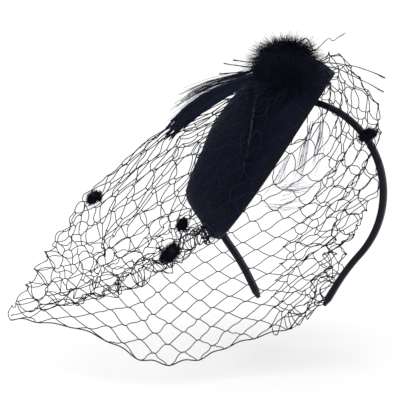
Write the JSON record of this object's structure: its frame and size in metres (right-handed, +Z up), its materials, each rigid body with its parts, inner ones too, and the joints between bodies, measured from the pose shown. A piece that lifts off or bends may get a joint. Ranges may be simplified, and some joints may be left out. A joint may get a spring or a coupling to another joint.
{
  "type": "fascinator headpiece",
  "caption": "Small felt hat with marabou puff, feather quills and a dotted net veil, clipped by a sprung clip onto a satin-covered headband.",
  "frame": {"origin": "centre of the headband's round top arc, in the middle of its width", "axes": "+Z up, wearer faces -Y, headband in the XZ plane, hat on the wearer's right (-X)"},
  "size_m": [0.2159, 0.1952, 0.2091],
  "materials": {
    "core_plastic": "semi-matte moulded plastic",
    "satin": "satin ribbon",
    "tip_plastic": "smooth",
    "felt": "dense wool-look felt",
    "lining": "plain woven lining",
    "binding": "ribbed ribbon",
    "wire": "bare wire",
    "clip_steel": "nickel-plated steel",
    "spring_steel": "bright wire",
    "thread": "polyester thread",
    "marabou": "down feather",
    "coque": "glossy feather with a blue sheen",
    "quill": "stripped quill",
    "wisp": "feather barbs",
    "net": "knotted net",
    "chenille": "chenille pile"
  },
  "bodies": {
    "headband": {"headband_core": "core_plastic", "headband_ribbon": "satin", "headband_tip_left": "tip_plastic", "headband_tip_right": "tip_plastic"},
    "hat": {"hat_crown": "felt", "hat_lining": "lining", "hat_rim_binding": "binding", "hat_rim_wire": "wire", "clip_fixed_jaw": "clip_steel", "clip_pin": "clip_steel", "clip_spring": "spring_steel", "clip_tab": "felt", "clip_stitches": "thread", "trim_backing": "felt", "marabou_puff": "marabou", "coque_tail": "coque", "coque_wisps": "coque", "quill_left_1": "quill", "quill_left_2": "quill", "quill_left_3": "quill", "quill_right_1": "quill", "quill_right_2": "quill", "quill_zigzag": "quill", "quill_loop": "quill", "quill_front": "quill", "rear_wisp": "wisp", "veil_front": "net", "veil_rear": "net", "gather_stitch": "thread", "chenille_dot_1": "chenille", "chenille_dot_2": "chenille", "chenille_dot_3": "chenille", "chenille_dot_4": "chenille"},
    "clip_lever": {"clip_lever_jaw": "clip_steel"}
  },
  "joints": [
    {"name": "hat_shift", "type": "hinge", "parent": "headband", "child": "hat", "pos_m": [0, 0, 0], "axis": [0, 1, 0], "range_deg": [-3, 15]},
    {"name": "clip_lever", "type": "hinge", "parent": "hat", "child": "clip_lever", "pos_m": [-0.05226, 0.014, 0.03659], "axis": [0.5736, 0, 0.8192], "range_deg": [0, 25], "stiffness_Nm_per_rad": 0.05, "springref_deg": -28.65}
  ]
}
